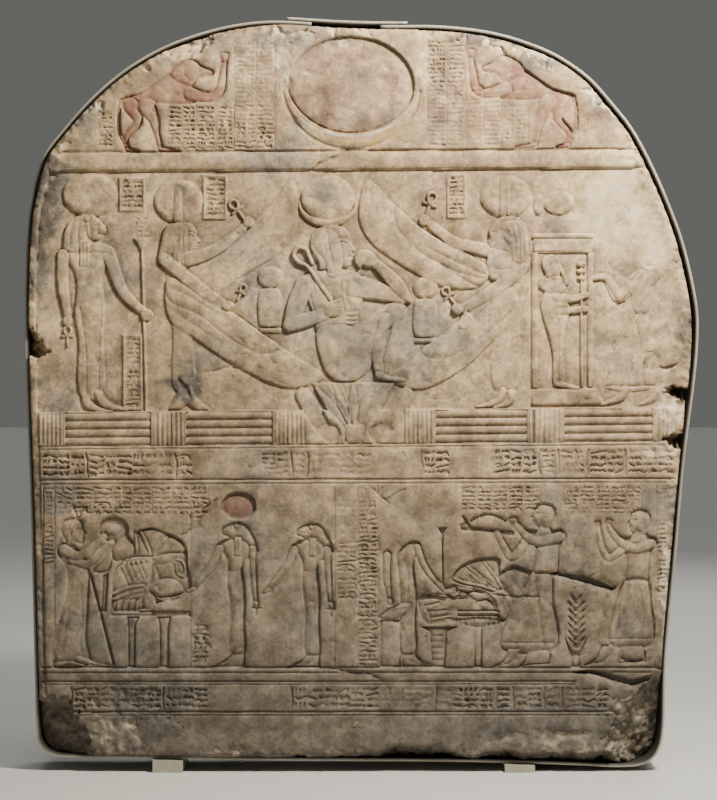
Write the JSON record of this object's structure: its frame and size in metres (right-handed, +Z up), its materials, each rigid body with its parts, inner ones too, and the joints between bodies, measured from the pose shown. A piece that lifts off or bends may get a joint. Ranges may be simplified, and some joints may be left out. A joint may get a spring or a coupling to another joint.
{
  "type": "round-topped carved stone stele in a display cradle",
  "caption": "Round-topped stone slab carved in low relief with registers of figures and text rows, standing in a flat steel cradle on two small feet.",
  "frame": {"origin": "on the floor, under the middle of the overall width and of the slab's thickness", "axes": "+Z up, the carved front faces -Y, +X to the right of someone looking at the front"},
  "size_m": [0.6768, 0.1, 0.7574],
  "materials": {
    "limestone": "weathered warm beige limestone with traces of red paint, grey patina and pale chips",
    "cradle_paint": "satin cream-grey paint on flat steel strap, rubbed at the edges"
  },
  "bodies": {
    "root": {"stele": "limestone", "cradle_strap": "cradle_paint", "cradle_top_link": "cradle_paint", "foot_left": "cradle_paint", "foot_right": "cradle_paint"}
  },
  "joints": []
}
